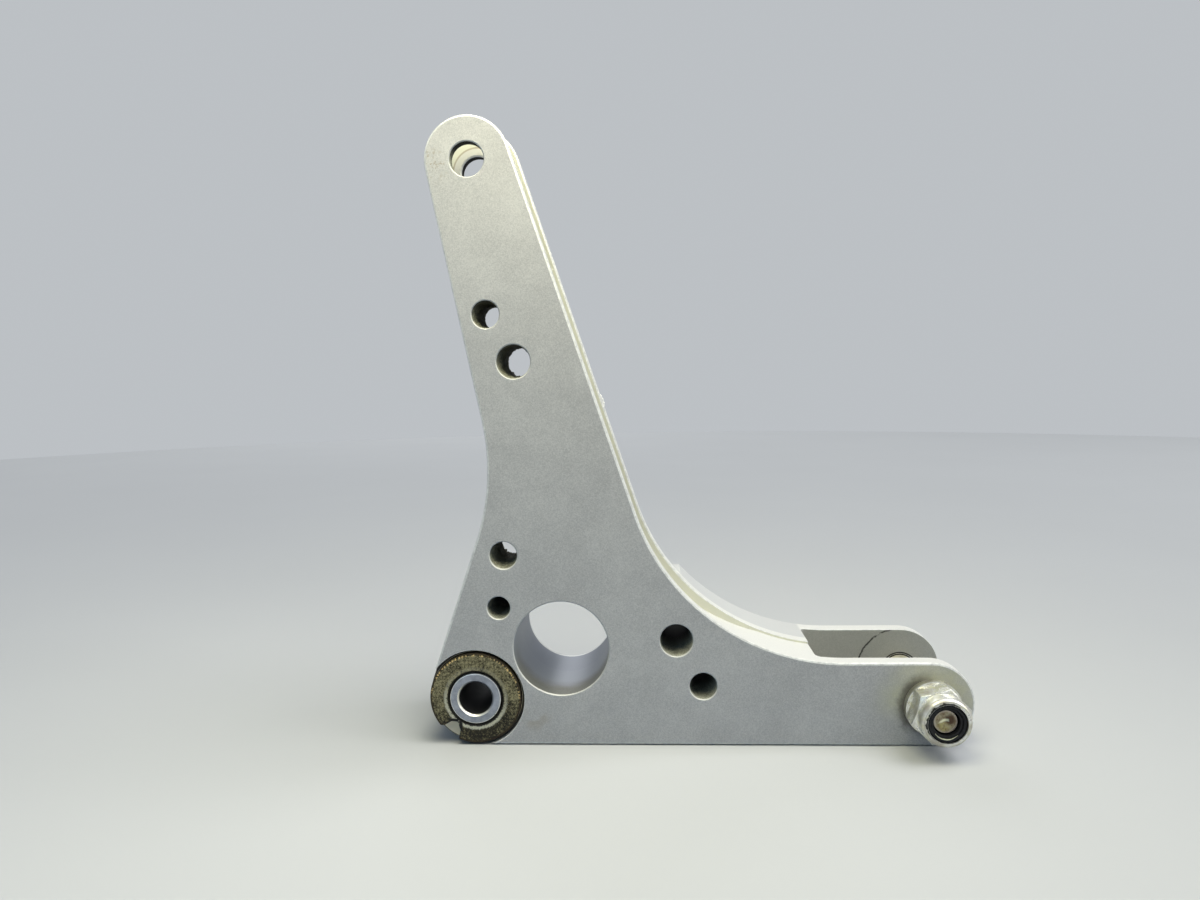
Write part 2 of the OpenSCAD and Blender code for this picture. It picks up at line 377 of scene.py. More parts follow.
def lit_wall_mask(g: Surface, holes: Sequence[Hole]) -> Field:
    """Mask of the pale bare wall of drilled holes where light reaches it, near the front and not at their
    tops: painted light.

    Args:
        g: Graph of the material.
        holes: The holes.

    Returns:
        The speckled mask.
    """
    speck = g.noise(0.36, 3, 0.75, (7, 1)).ramp(0.36, 0.66)
    walls = []
    for hole in holes:
        near = g.radius(hole.at).ramp(hole.d / 2 + 0.15, hole.d / 2 + 0.09)
        walls.append(near * (g.z - hole.at[1]).ramp(0.4 * hole.d, -0.1 * hole.d))
    depth = (g.y + speck * 2.5).ramp(PART.front_y + 13.0, PART.front_y + 7.0)
    return any_of(walls) * depth * (speck * 0.6 + 0.4)


@dataclass(frozen=True)
class BlastedAluminium:
    """Finely blasted, anodised aluminium with milled edges, stains of use, painted shade in gaps and
    drilled holes, and painted light on some walls.
    """

    holes: Sequence[Hole]
    window: Hole
    spot_r: float = 9.52
    seat_r: float = 9.15
    seat_y: float = -9.5
    gap_shade_y: Spot = (9.4, 10.85)
    fork_x: float = 65.6
    ear_arc_r: Spot = (8.7, 9.05)
    ear_joint_shade_r: Spot = (3.42, 3.9)
    top_ring_r: Spot = (4.65, 4.95)
    specks_at: Spot = (-4.4, 100.6)
    hub_stain_at: Spot = (11.5, -3.3)
    light: Colour = (0.66, 0.645, 0.625)
    dull: Colour = (0.42, 0.413, 0.41)
    bare: Colour = (0.80, 0.80, 0.77)
    milled: Colour = (0.74, 0.74, 0.715)
    blasted: Colour = (0.56, 0.57, 0.575)
    bounce_lit_cream: Colour = (0.74, 0.735, 0.61)
    olive: Colour = (0.335, 0.335, 0.265)
    bore_shade: Colour = (0.006, 0.0055, 0.004)
    lit_wall: Colour = (0.56, 0.56, 0.46)
    seat: Colour = (0.96, 0.86, 0.64)
    wall: Colour = (0.27, 0.292, 0.335)
    film: Colour = (0.13, 0.127, 0.095)
    washer_shade_brown: Colour = (0.055, 0.046, 0.032)
    oil: Colour = (0.54, 0.54, 0.33)
    brown: Colour = (0.30, 0.23, 0.14)
    black: Colour = (0.012, 0.011, 0.008)

    def build(self) -> bpy.types.Material:
        """Makes the material."""
        g = Surface("blasted_aluminium")
        cloud = g.noise(16, 3, 0.6)
        patch = g.noise(3.0, 2, 0.5, (31, 7))
        grain = g.noise(0.20, 2, 0.7, (3, 11))
        tone = cloud * 0.28 + patch * 0.14 + grain * 0.78
        colour = g.blend(tone.ramp(0.34, 0.86), self.dull, self.light)
        flat = g.square.ramp(0.8, 0.95)
        side = g.square.ramp(0.45, 0.2)
        colour = g.blend(self._inner(g) * flat * 0.5, colour, self.olive)
        seat = g.radius(PART.pivot_at).ramp(self.seat_r + 0.15, self.seat_r - 0.15)
        seat = seat * g.y.band(self.seat_y - 0.3, self.seat_y + 0.3, 0.1) * flat
        colour = g.blend(seat, colour, self.seat)
        # Painted light: the groove's rear wall is bare machined metal, painted paler still to stand in for
        # light bounced off the groove floor.
        groove = g.y.band(PART.groove_y - 0.15, PART.groove_y + 0.15, 0.05) * flat
        colour = g.blend(groove * 0.85, colour, self.bounce_lit_cream)
        colour = self._stains(g, colour, patch)
        behind = g.y.ramp(PART.arm_rear_y - 0.05, PART.arm_rear_y + 0.05)
        behind = behind * g.x.ramp(self.fork_x + 0.4, self.fork_x - 0.4)
        machined = g.blend(behind, self.milled, self.blasted)
        colour = g.blend(side * (grain * 0.3 + 0.62), colour, machined)
        # The turned window wall is smoother than the faces; its darker bluish tone is partly painted
        # reflection.
        turned = self._inside(g, [self.window], 0.12) * side
        colour = g.blend(turned * 0.92, colour, self.wall)
        # Painted highlight: a bright band at the rear end of the window wall.
        rim = g.y.ramp(PART.rear_y - 0.85, PART.rear_y - 0.65) * turned
        colour = g.blend(rim * 0.9, colour, self.bare)
        low = (g.z - self.window.at[1]).ramp(2.0, -5.5)
        smear = (g.y + patch * 2.4).ramp(PART.front_y + 8.4, PART.front_y + 3.4) * low * turned
        colour = g.blend(smear * (grain * 0.5 + 0.6), colour, self.film)
        # Painted shade and light: the drilled walls are painted near black, with pale bare metal only near
        # the front and low down, where light reaches.
        drilled = self._inside(g, self.holes, 0.12) * side
        lit_walls = g.blend(lit_wall_mask(g, self.holes), self.bore_shade, self.lit_wall)
        colour = g.blend(drilled, colour, lit_walls)
        cone = g.square.band(0.5, 0.85, 0.05) * self._inside(g, [*self.holes, self.window], 0.26)
        colour = g.blend(cone * 0.85, colour, self.bare)
        rough = 0.50 + grain * 0.14 - turned * 0.14 + drilled * 0.4
        metal = 0.25 + turned * 0.4 - smear * 0.3 - drilled * 0.25
        return g.finish(colour, rough, metal, g.bump(grain, 0.018, 0.7))

    @staticmethod
    def _inside(g: Surface, holes: Sequence[Hole], grow: float) -> Field:
        """Mask of what lies inside any of the holes, each made larger by a margin."""
        reach = [(hole.at, hole.d / 2 + grow) for hole in holes]
        return any_of([g.radius(at).ramp(r + 0.03, r - 0.03) for at, r in reach])

    @staticmethod
    def _inner(g: Surface) -> Field:
        """Mask of the depths at which the faces inside the forks lie."""
        upper = g.y.band(PART.front_y + 0.5, PART.arm_rear_y - 0.4, 0.1)
        return upper | g.y.band(PART.arm_rear_y + 0.6, PART.rear_y - 0.5, 0.1)

    def _stains(self, g: Surface, colour: Field, patch: Field) -> Field:
        """Lays the stains of use and the painted shade over the metal.

        Args:
            g: Graph of the material.
            colour: Colour of the clean metal.
            patch: Noise that breaks the stains up.

        Returns:
            The stained colour.
        """
        bolt = g.radius(PART.bolt_at)
        front = g.y.ramp(PART.front_y + 0.3, PART.front_y + 0.1)
        blotch = g.noise(2.2, 3, 0.65, (5, 23))
        over = (g.z - PART.bolt_at[1]).ramp(-4.0, 1.5)
        oil = bolt.ramp(12.5, 5.5) * over * (blotch * 1.1 + 0.15)
        colour = g.blend(oil * front * 0.7, colour, self.oil)
        # Painted shade: a soft dark brown band beside the washer, strongest on its left.
        left = (g.x - PART.bolt_at[0]).ramp(1.5, -3.5)
        washer_shade = (bolt + blotch * 2.0).ramp(8.4, 6.0) * (left * 0.8 + 0.2) * front
        colour = g.blend(washer_shade * 0.85, colour, self.washer_shade_brown)
        inside = g.y.band(PART.ear_y - 0.5, PART.ear_y + 0.5, 0.1)
        arc = (bolt + (blotch - 0.5) * 0.9).band(*self.ear_arc_r, 0.1) * inside * blotch.ramp(0.36, 0.5)
        # Dark joint line round the ear bush, widened as painted shade of the gap at the joint.
        joint_shade = bolt.band(*self.ear_joint_shade_r, 0.06) * inside
        colour = g.blend(arc * 0.9 | joint_shade * 0.95, colour, self.black)
        ring = g.radius(PART.top_at)
        back = g.y.band(PART.groove_y - 0.5, PART.groove_y + 0.5, 0.1)
        rubbed = ring.ramp(self.top_ring_r[1], self.top_ring_r[1] - 0.25)
        colour = g.blend(rubbed * back * 0.7, colour, self.light)
        colour = g.blend(ring.band(*self.top_ring_r, 0.08) * back * 0.6, colour, self.brown)
        pivot = g.radius(PART.pivot_at)
        # Painted shade: the gap between the bush flange and the spot face's wall is painted black.
        gap_shade = pivot.band(PART.flange_r + 0.05, self.spot_r + 0.05, 0.04) * abs(g.y).band(*self.gap_shade_y, 0.05)
        colour = g.blend(gap_shade * 0.9, colour, self.black)
        fine = g.noise(0.55, 2, 0.6, (8, 2)).ramp(0.56, 0.68)
        specks = g.radius(self.specks_at).ramp(4.0, 1.0) * fine
        hub = g.radius(self.hub_stain_at).ramp(4.2, 0.5) * patch.ramp(0.46, 0.7)
        return g.blend(specks * 0.75 | hub * 0.5, colour, self.brown)


@dataclass(frozen=True)
class BareEdge:
    """Bright metal where an edge has rubbed through."""

    name: str
    colour: Colour
    rough: float = 0.36
    metal: float = 0.45

    def build(self) -> bpy.types.Material:
        """Makes the material."""
        g = Surface(self.name)
        rub = g.noise(0.7, 3, 0.6)
        dark = tuple(0.8 * c for c in self.colour)
        colour = g.blend(rub.ramp(0.3, 0.62), dark, self.colour)
        return g.finish(colour, self.rough + rub * 0.2, self.metal)


@dataclass(frozen=True)
class CutThread:
    """Dark oily thread, painted pale near the front and low down where light reaches it."""

    holes: Sequence[Hole]
    deep: Colour = (0.03, 0.028, 0.018)
    oil: Colour = (0.10, 0.095, 0.062)
    lit_wall: Colour = (0.52, 0.51, 0.40)

    def build(self) -> bpy.types.Material:
        """Makes the material."""
        g = Surface("cut_thread")
        rub = g.noise(0.7, 3, 0.6)
        lit_walls = lit_wall_mask(g, self.holes)
        colour = g.blend(rub.ramp(0.3, 0.62), self.deep, self.oil)
        colour = g.blend(lit_walls * 0.9, colour, self.lit_wall)
        return g.finish(colour, 0.5 + rub * 0.2 + lit_walls * 0.2, 0.3 - lit_walls * 0.3)


@dataclass(frozen=True)
class ClothLaminate:
    """Oily fabric laminate: dark gritty face with painted shade low down, pale worn ring, painted shade in
    the mouth and on the flange's edge, golden thread ends painted lit on the rim's top.
    """

    name: str
    bore_r: float = 4.98
    mouth: float = 0.5
    thread: float = 0.72
    chip_at: Spot = (-3.7, -4.7)
    dark: Colour = (0.011, 0.009, 0.005)
    light: Colour = (0.46, 0.395, 0.21)
    worn: Colour = (0.84, 0.78, 0.58)
    gold: Colour = (0.95, 0.68, 0.28)
    rim: Colour = (0.020, 0.012, 0.005)
    gap_shade: Colour = (0.003, 0.003, 0.002)
    crack_and_shadow: Colour = (0.004, 0.004, 0.003)

    def build(self) -> bpy.types.Material:
        """Makes the material."""
        g = Surface(self.name)
        r = g.radius(PART.pivot_at)
        step = 2 * math.pi / self.thread
        bend = g.noise(0.9, 2, 0.6, (9, 4)) * 14
        weave = (g.x * step + bend * 0.4).wave() * (g.z * step + bend * 0.4).wave()
        grit = g.noise(0.30, 2, 0.8, (2, 8))
        fleck = g.noise(0.14, 2, 0.6, (12, 28))
        cloud = g.noise(1.5, 2, 0.55, (14, 3))
        face = grit * 0.75 + fleck * 0.35 + cloud * 0.35 + weave * 0.07
        shade = (g.z - g.x * 0.1).ramp(0.5, -6.5) * 0.15
        colour = g.blend((face - shade).ramp(0.54, 0.98), self.dark, self.light)
        low = (g.z * -0.10 - g.x * 0.02 + 0.45).ramp(0.0, 1.0)
        lip = self.bore_r + self.mouth
        ring = (r + (grit - 0.5) * 0.9).band(lip + 0.12, lip + 0.72, 0.15)
        rubbed = ring * (low * 0.85 + 0.15) * (fleck * 0.7 + cloud * 0.5).ramp(0.34, 0.56)
        colour = g.blend(rubbed * 0.95, colour, self.worn)
        # Painted shade: the chamfer at the bush's mouth is painted near black.
        mouth = r.ramp(lip + 0.14, lip - 0.02)
        colour = g.blend(mouth * 0.95, colour, self.gap_shade)
        count = round(2 * math.pi * PART.flange_r / self.thread)
        dash = (g.turn(PART.pivot_at) * count + g.noise(1.2, 2, 0.6, (5, 5)) * 17).wave().ramp(0.30, 0.62)
        # Painted shade: the rounded outer edge of the flange is painted dark brown.
        edge = r.ramp(PART.flange_r - 0.5, PART.flange_r - 0.3)
        tip = (r + (grit - 0.5) * 0.3).band(PART.flange_r - 0.52, PART.flange_r - 0.2, 0.06)
        # The gold thread ends are real; showing them mostly on the rim's top is painted light.
        lit = g.z.ramp(-1.5, 2.0) * 0.95 + 0.05
        colour = g.blend(edge * 0.9, colour, self.rim)
        whole = g.noise(1.4, 2, 0.6, (21, 2)).ramp(0.40, 0.5)
        colour = g.blend(tip * dash * lit * whole, colour, self.gold)
        crack_and_edge_shadow = self._crack_and_shadow(g)
        colour = g.blend(crack_and_edge_shadow, colour, self.crack_and_shadow)
        height = weave * 0.15 + grit * 0.7 + fleck * 0.4 - crack_and_edge_shadow
        return g.finish(colour, 0.66 - rubbed * 0.15, 0.0, g.bump(height, 0.07, 0.9),
                        {"Specular IOR Level": 0.32})

    def _crack_and_shadow(self, g: Surface) -> Field:
        """Mask of the crack from the broken corner to the bore, and of painted shadow along the corner's
        broken rim.
        """
        bend = (g.noise(0.9, 2, 0.6, (4, 14)) - 0.5) * 0.9
        near = abs(g.x - g.z * 0.30 + 2.35 + bend).ramp(0.36, 0.14)
        reach = g.z.band(self.chip_at[1] - 0.3, -3.6, 0.1) * g.x.ramp(-1.5, -2.0)
        # Painted shadow along the right and top of the broken corner.
        right = abs(g.x - self.chip_at[0] - 0.58 + bend * 0.5).ramp(0.50, 0.26)
        right = right * g.z.band(self.chip_at[1] - 1.9, self.chip_at[1] + 0.2, 0.15)
        top = abs(g.z - self.chip_at[1] - 0.30 + bend * 0.5).ramp(0.42, 0.22)
        top = top * g.x.band(self.chip_at[0] - 1.7, self.chip_at[0] + 0.1, 0.15)
        return (near * reach | right | top) * g.y.ramp(PART.front_y + 0.6, PART.front_y + 0.3)


@dataclass(frozen=True)
class TurnedSteel:
    """Turned steel with fine tool rings about the pivot axis, a painted highlight on the lower left of its
    bore chamfer and an oily bore painted near black as shade.
    """

    name: str
    bore_r: float = 3.175
    colour: Colour = (0.40, 0.43, 0.50)
    shade: Colour = (0.22, 0.24, 0.29)
    chamfer_highlight: Colour = (0.90, 0.89, 0.80)
    oil: Colour = (0.004, 0.004, 0.005)
    feed: float = 0.16

    def build(self) -> bpy.types.Material:
        """Makes the material."""
        g = Surface(self.name)
        r = g.radius(PART.pivot_at)
        rings = (r * (2 * math.pi / self.feed) + g.noise(3, 1) * 4).wave()
        cloud = g.noise(1.3, 3, 0.6)
        colour = g.blend((cloud * 0.8 + rings * 0.25).ramp(0.3, 0.8), self.shade, self.colour)
        # Painted highlight: the bore's chamfer is bright on its lower left only.
        colour = g.blend(g.square.band(0.5, 0.85, 0.05) * (g.z + g.x).ramp(2.2, -1.6), colour, self.chamfer_highlight)
        # Painted shade: the bore is an oily film painted near black, deepened as shade.
        bore = r.ramp(self.bore_r + 0.1, self.bore_r + 0.03)
        colour = g.blend(bore, colour, self.oil)
        rough = 0.30 + cloud * 0.16 + bore * 0.25
        return g.finish(colour, rough, 0.85 - bore * 0.8, g.bump(rings, 0.006, 0.5))


@dataclass(frozen=True)
class DullPlating:
    """Plated steel, bright where it is rubbed and brown where tools and dirt have dulled it, and kept
    bright on the top of the nut as painted light.
    """

    name: str
    colour: Colour = (0.86, 0.86, 0.82)
    tint: Colour = (0.76, 0.75, 0.60)
    worn: Colour = (0.34, 0.31, 0.25)
    dirt: Colour = (0.06, 0.05, 0.032)
    soot: Colour = (0.006, 0.006, 0.007)
    joint_shade: Colour = (0.008, 0.007, 0.005)
    wear: float = 0.9
    rough: float = 0.16
    metal: float = 0.94
    lit_top_z: float = 1000.0
    rim: Optional[Hole] = None
    smear: Optional[Hole] = None

    def build(self) -> bpy.types.Material:
        """Makes the material."""
        g = Surface(self.name)
        cloud = g.noise(2.7, 2, 0.45, (11, 5))
        fine = g.noise(1.1, 2, 0.45, (1, 19))
        scrape = g.noise(1.2, 2, 0.45, (6, 6), (0.2, 1.0, 0.2))
        colour = g.blend(fine.ramp(0.42, 0.66), self.colour, self.tint)
        # Painted light: wear and dirt are held off the top of the nut so that it stays bright, as a lit top
        # would.
        lit_top = g.z.ramp(self.lit_top_z - 0.4, self.lit_top_z)
        dull = (cloud * 0.6 + scrape * 0.5).ramp(0.46, 0.72) * (1 - lit_top * 0.95)
        colour = g.blend(dull * self.wear, colour, self.worn)
        spots = (fine * 0.6 + scrape * 0.5).ramp(0.70, 0.80) * (dull * 0.6 + 0.4) * (1 - lit_top * 0.8)
        colour = g.blend(spots * self.wear, colour, self.dirt)
        if self.smear is not None:
            at = self.smear.at
            lip = self.smear.d / 2
            torn = g.noise(1.0, 2, 0.5, (17, 9))
            left = (g.z - g.x + at[0] - at[1]).ramp(-1.5, 3.5) * 0.75
            black = (g.radius(at) - torn * (0.3 + left)).ramp(lip - 0.1, lip - 0.25)
            line = g.radius(at).band(lip + 0.5, lip + 0.62, 0.06)
            colour = g.blend(line * 0.55, colour, self.worn)
            colour = g.blend(black * 0.95, colour, self.soot)
        # Dark ring on the outer edge of the bush face: a joint line, widened as painted shade of the gap.
        if self.rim is not None:
            joint_shade = g.radius(self.rim.at).ramp(self.rim.d / 2 - 0.30, self.rim.d / 2 - 0.18)
            colour = g.blend(joint_shade, colour, self.joint_shade)
        rough = self.rough + fine * 0.1 + dull * 0.12 + spots * 0.2
        height = scrape * 0.6 + fine * 0.4
        return g.finish(colour, rough, self.metal - spots * 0.4, g.bump(height, 0.010, 0.06))


@dataclass(frozen=True)
class BoltSteel:
    """Plated bolt whose cut end shows rust, a pale worn edge, a bright scrape and painted shade on its end
    chamfer.
    """

    name: str
    at: Spot
    end_y: float
    face_r: float = 2.08
    colour: Colour = (0.62, 0.60, 0.48)
    end: Colour = (0.34, 0.30, 0.19)
    rust: Colour = (0.13, 0.06, 0.03)
    oily: Colour = (0.46, 0.41, 0.19)
    worn: Colour = (0.58, 0.51, 0.45)
    scratch: Colour = (0.90, 0.88, 0.64)
    shadow: Colour = (0.01, 0.009, 0.007)

    def build(self) -> bpy.types.Material:
        """Makes the material."""
        g = Surface(self.name)
        fine = g.noise(0.45, 3, 0.65, (12, 3))
        cloud = g.noise(1.1, 3, 0.6, (2, 2))
        tip = g.y.ramp(self.end_y + 0.6, self.end_y + 0.2)
        colour = g.blend(cloud.ramp(0.35, 0.7), self.colour, self.end)
        colour = g.blend(tip * 0.8, colour, self.end)
        yellow = g.radius((self.at[0] - 0.4, self.at[1] - 0.9)).ramp(1.5, 0.5) * tip
        colour = g.blend(yellow * cloud.ramp(0.3, 0.55), colour, self.oily)
        mottle = (cloud * 0.5 + fine * 0.6).ramp(0.50, 0.66) * tip
        colour = g.blend(mottle * 0.6, colour, self.rust)
        pale = (g.radius(self.at) + fine * 0.7).ramp(2.0, 2.35) * tip
        colour = g.blend(pale * 0.6, colour, self.worn)
        near = g.radius((self.at[0] + 0.8, self.at[1] + 0.35))
        rust = (near + fine * 1.6).ramp(2.0, 1.25) * tip
        colour = g.blend(rust * 0.9, colour, self.rust)
        scrape = g.radius((self.at[0] + 0.1, self.at[1] - 0.9)).band(1.0, 1.45, 0.12) * tip
        scrape = scrape * (g.z - self.at[1]).ramp(-0.45, 0.0) * (g.x - self.at[0]).ramp(0.75, 0.45)
        colour = g.blend(scrape * fine.ramp(0.28, 0.48), colour, self.scratch)
        # Painted shade: the chamfer round the bolt's end face is painted black.
        chamfer_shade = g.radius(self.at).ramp(self.face_r, self.face_r + 0.12) * tip
        colour = g.blend(chamfer_shade * 0.95, colour, self.shadow)
        rough = 0.36 + fine * 0.2 + rust * 0.25
        return g.finish(colour, rough, 0.8 - rust * 0.5, g.bump(fine, 0.03, 0.6))


@dataclass(frozen=True)
class MattPlastic:
    """Dark moulded plastic with a fine grain and pale scuffs."""

    name: str
    colour: Colour = (0.004, 0.0045, 0.006)
    scuff: Colour = (0.022, 0.024, 0.03)

    def build(self) -> bpy.types.Material:
        """Makes the material."""
        g = Surface(self.name)
        fine = g.noise(0.4, 3, 0.65)
        colour = g.blend(fine.ramp(0.52, 0.72), self.colour, self.scuff)
        return g.finish(colour, 0.45 + fine * 0.2, 0.0, g.bump(fine, 0.04, 0.6),
                        {"Specular IOR Level": 0.35})


@dataclass(frozen=True)
class PaleGround:
    """Plain pale floor."""

    colour: Colour = (0.53, 0.54, 0.55)
    bounce: Colour = (0.155, 0.21, 0.31)

    def build(self) -> bpy.types.Material:
        """Makes the material."""
        g = Surface("pale_ground")
        light = tuple(min(1.0, 1.04 * c) for c in self.colour)
        seen = g.blend(g.noise(90, 2, 0.5), self.colour, light)
        colour = g.blend(shown_rays(g), self.bounce, seen)
        return g.finish(colour, 0.9, 0.0, None, {"Specular IOR Level": 0.0})


def dress(node: bpy.types.Object, face: bpy.types.Material, edge: Optional[bpy.types.Material] = None,
          width: float = 0.1, angle: float = 60.0, shares: Optional[bpy.types.NodeTree] = None) -> None:
    """Gives a CAD node its finish and softly broken edges.

    Args:
        node: The node's object, whose mesh stays as it is.
        face: Material of its faces.
        edge: Material of its broken edges; the faces' own where there is none.
        width: Width of a broken edge in millimetres.
        angle: Smallest angle in degrees at which an edge is broken.
        shares: Nodes that give each edge its share of the width, in place of the angle.
    """
    mesh = node.data
    if mesh.materials:
        mesh.materials[0] = face
    else:
        mesh.materials.append(face)
    if edge is not None:
        mesh.materials.append(edge)
    weld = node.modifiers.new("joined_faces", "WELD")
    weld.merge_threshold = JOIN_GAP * MM
    plain = node.modifiers.new("plain_faces", "DECIMATE")
    plain.decimate_type = "DISSOLVE"
    plain.angle_limit = math.radians(FLAT_DEG)
    if shares is not None:
        node.modifiers.new("edge_shares", "NODES").node_group = shares
    bevel = node.modifiers.new("broken_edges", "BEVEL")
    bevel.width = width * MM
    bevel.segments = 2
    bevel.limit_method = "ANGLE" if shares is None else "WEIGHT"
    bevel.angle_limit = math.radians(angle)
    bevel.use_clamp_overlap = False
    bevel.material = 1 if edge is not None else -1
    corners = node.modifiers.new("joined_corners", "WELD")
    corners.merge_threshold = CORNER_GAP * MM
    normals = node.modifiers.new("even_shading", "WEIGHTED_NORMAL")
    normals.weight = 50
    normals.keep_sharp = True
    LOG.info("dressed %s", node.name)


def add_object(name: str, data: Any) -> bpy.types.Object:
    """Adds an object with that mesh, lamp or camera to the scene."""
    made = bpy.data.objects.new(name, data)
    bpy.context.scene.collection.objects.link(made)
    return made


def add_piece(name: str, mesh: bmesh.types.BMesh, material: bpy.types.Material) -> None:
    """Turns a finished bmesh into a piece that rides on the crank.

    Args:
        name: Name of the piece.
        mesh: Mesh in metres in the part's frame; it is freed here.
        material: Finish of the piece.
    """
    bmesh.ops.recalc_face_normals(mesh, faces=mesh.faces)
    data = bpy.data.meshes.new(name)
    mesh.to_mesh(data)
    mesh.free()
    data.materials.append(material)
    data.shade_smooth()
    piece = add_object(name, data)
    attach(piece, ROOT_BODY)
    LOG.info("built %s", name)


def skin(rings: Sequence[Sequence[Vector]], looped: bool) -> bmesh.types.BMesh:
    """Joins a row of rings into a closed mesh.

    Args:
        rings: Rings of points in metres, each with the same number of points.
        looped: Whether the last ring joins the first; otherwise both ends get a face.

    Returns:
        The closed mesh.
    """
    mesh = bmesh.new()
    made = [[mesh.verts.new(p) for p in ring] for ring in rings]
    count = len(made[0])
    follow = made[1:] + made[:1] if looped else made[1:]
    for ring, after in zip(made, follow):
        for j in range(count):
            k = (j + 1) % count
            mesh.faces.new((ring[j], ring[k], after[k], after[j]))
    if not looped:
        mesh.faces.new(made[0])
        mesh.faces.new(made[-1])
    return mesh


def around(at: Spot, r: float, angle: float, y: float) -> Vector:
    """Point on a circle about an axis along Y, in metres."""
    return Vector(((at[0] + r * math.cos(angle)) * MM, y * MM, (at[1] + r * math.sin(angle)) * MM))


@dataclass
class CrankBody:
    """The machined crank, the rough cut threads in three of its holes and a burr on its edge."""

    window: Hole = Hole((16.85, 9.85), 18.3)
    tapped: Dict[str, Hole] = field(default_factory=lambda: {
        "arm_high_thread": Hole((4.3, 73.45), 5.15),
        "arm_low_thread": Hole((9.25, 64.65), 6.35),
        "waist_thread": Hole((6.25, 28.05), 5.2)})
    drilled: Sequence[Hole] = (Hole((5.05, 17.85), 4.35), Hole((38.9, 11.35), 6.2), Hole((43.9, 2.4), 5.15),
                               Hole(PART.top_at, 6.35))
    pitch: float = 0.8
    crest: float = 0.24
    torn: Dict[str, float] = field(default_factory=lambda: {
        "arm_high_thread": 0.12, "arm_low_thread": 0.5, "waist_thread": 0.6})
    thread_sides: int = 72
    rows_per_turn: int = 8
    thread_inset: Spot = (0.6, 0.22)
    edge_width: float = 0.40
    sharp_deg: float = 60.0
    crease_deg: float = 30.0
    wall_share: float = 0.8
    rear_share: float = 0.55
    inner_share: float = 0.3
    hub_loss: float = 0.68
    hub_fade_r: Spot = (13.5, 10.8)
    wall_fade_x: Spot = (49.0, 45.0)
    slot_end_z: Spot = (81.0, 83.3)
    slot_end_y: Spot = (-8.95, -0.55)
    burr_at: Spot = (25.2, 56.8)
    burr_length: float = 2.6
    edge_lean_deg: float = 18.0

    def build(self, nodes: Dict[str, bpy.types.Object]) -> None:
        """Dresses the body and adds its threads and burr.

        Args:
            nodes: CAD nodes by name.
        """
        holes = [*self.tapped.values(), *self.drilled]
        metal = BlastedAluminium(holes, self.window).build()
        edge = BareEdge("bare_aluminium", (0.84, 0.84, 0.81)).build()
        dress(nodes["crank_body"], metal, edge, self.edge_width, shares=self.edge_shares())
        cut = CutThread(list(self.tapped.values())).build()
        for name, hole in self.tapped.items():
            add_piece(name, self.thread(hole, self.torn[name]), cut)
        add_piece("edge_burr", self.burr(), edge)

    def edge_shares(self) -> bpy.types.NodeTree:
        """Widths of the broken edges: full on the outline, small round the hub and inside the slots.

        The end of the top slot has edges shorter than the width, so they stay unbroken.

        Returns:
            The nodes that hand each edge its share of the full width.
        """
        g = EdgeGraph("edge_shares", self.sharp_deg, self.crease_deg)
        places = (PART.front_y, PART.groove_y, PART.arm_rear_y)
        front, wall, arm_rear = [g.y.band(y - 0.1, y + 0.1, 0.05) for y in places]
        wall = wall * g.x.ramp(*self.wall_fade_x) * self.wall_share
        rear = (arm_rear | g.y.ramp(PART.rear_y - 0.1, PART.rear_y)) * self.rear_share
        hub = g.radius(PART.pivot_at).ramp(*self.hub_fade_r) * self.hub_loss
        end = g.z.band(*self.slot_end_z, 0.1) * g.y.band(*self.slot_end_y, 0.05)
        return g.store((front | wall | rear | self.inner_share) * (1 - hub) * (1 - end))

    def thread(self, hole: Hole, torn: float) -> bmesh.types.BMesh:
        """Rough helical thread that lines a hole and ends in a torn edge at the rear.

        Args:
            hole: The hole that it lines.
            torn: Height in millimetres of the torn teeth at its rear end.

        Returns:
            A closed ring with ridges on its inner side.
        """
        wall = hole.d / 2 - 0.01
        start = PART.front_y + self.thread_inset[0]
        length = PART.arm_rear_y - self.thread_inset[1] - start
        rows = int(length / self.pitch * self.rows_per_turn)
        turns = [2 * math.pi * j / self.thread_sides for j in range(self.thread_sides)]
        rings = []
        for i in range(rows + 1):
            y = start + length * i / rows
            ring = []
            for j, angle in enumerate(turns):
                turn = (y / self.pitch + j / self.thread_sides) % 1.0
                ridge = self.crest * (1 - abs(2 * turn - 1)) ** 1.4
                spot = around(hole.at, wall, angle, y) / MM
                ragged = 0.10 * max(0.0, noise.noise(spot * 2.2)) + 0.05 * noise.noise(spot * 5.0)
                fade = min(1.0, 6.0 * i / rows)
                tear = max(0.0, noise.noise(spot * 1.9) * 0.7 + noise.noise(spot * 4.3) * 0.6 + 0.2)
                tooth = torn * tear * max(0.0, 8.0 * i / rows - 7.0)
                depth = max(0.02, (ridge + ragged) * fade + 0.03) + tooth
                ring.append(around(hole.at, wall - depth, angle, y))
            rings.append(ring)
        rings.append([around(hole.at, wall, a, start + length) for a in turns])
        rings.append([around(hole.at, wall, a, start) for a in turns])
        return skin(rings, True)

